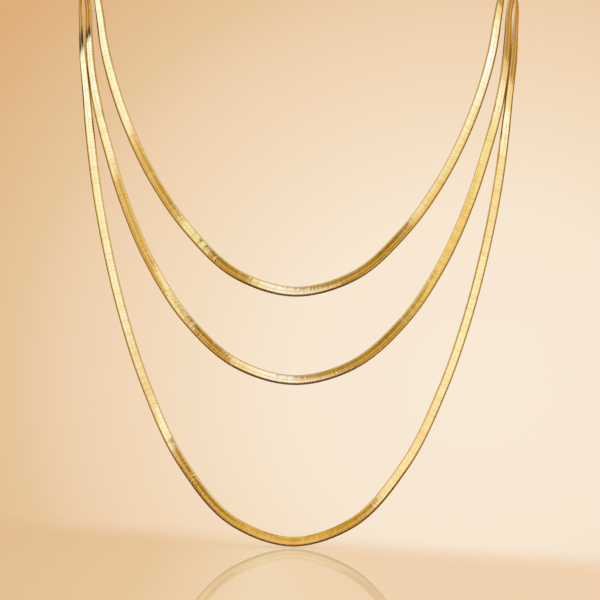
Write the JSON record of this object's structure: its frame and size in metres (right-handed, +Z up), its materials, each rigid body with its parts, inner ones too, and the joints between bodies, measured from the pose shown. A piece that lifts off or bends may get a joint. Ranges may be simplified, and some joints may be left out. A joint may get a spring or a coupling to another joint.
{
  "type": "triple snake chain necklace",
  "caption": "Layered necklace of flat snake chains in polished yellow gold tone, hung in worn form, with end caps gathered on rings at one plain clasp.",
  "frame": {"origin": "nape: middle of the clasp's inner face, which rests on the back of the neck", "axes": "+X to the right in the front view, +Y to the back of the neck, +Z up"},
  "size_m": [0.1368, 0.1082, 0.2013],
  "materials": {
    "chain_gold": "polished",
    "fitting_gold": "polished"
  },
  "bodies": {
    "root": {"strand_short": "chain_gold", "strand_middle": "chain_gold", "strand_long": "chain_gold", "cap_short_left": "fitting_gold", "cap_short_right": "fitting_gold", "cap_middle_left": "fitting_gold", "cap_middle_right": "fitting_gold", "cap_long_left": "fitting_gold", "cap_long_right": "fitting_gold", "ring_left": "fitting_gold", "ring_right": "fitting_gold", "clasp": "fitting_gold"}
  },
  "joints": []
}
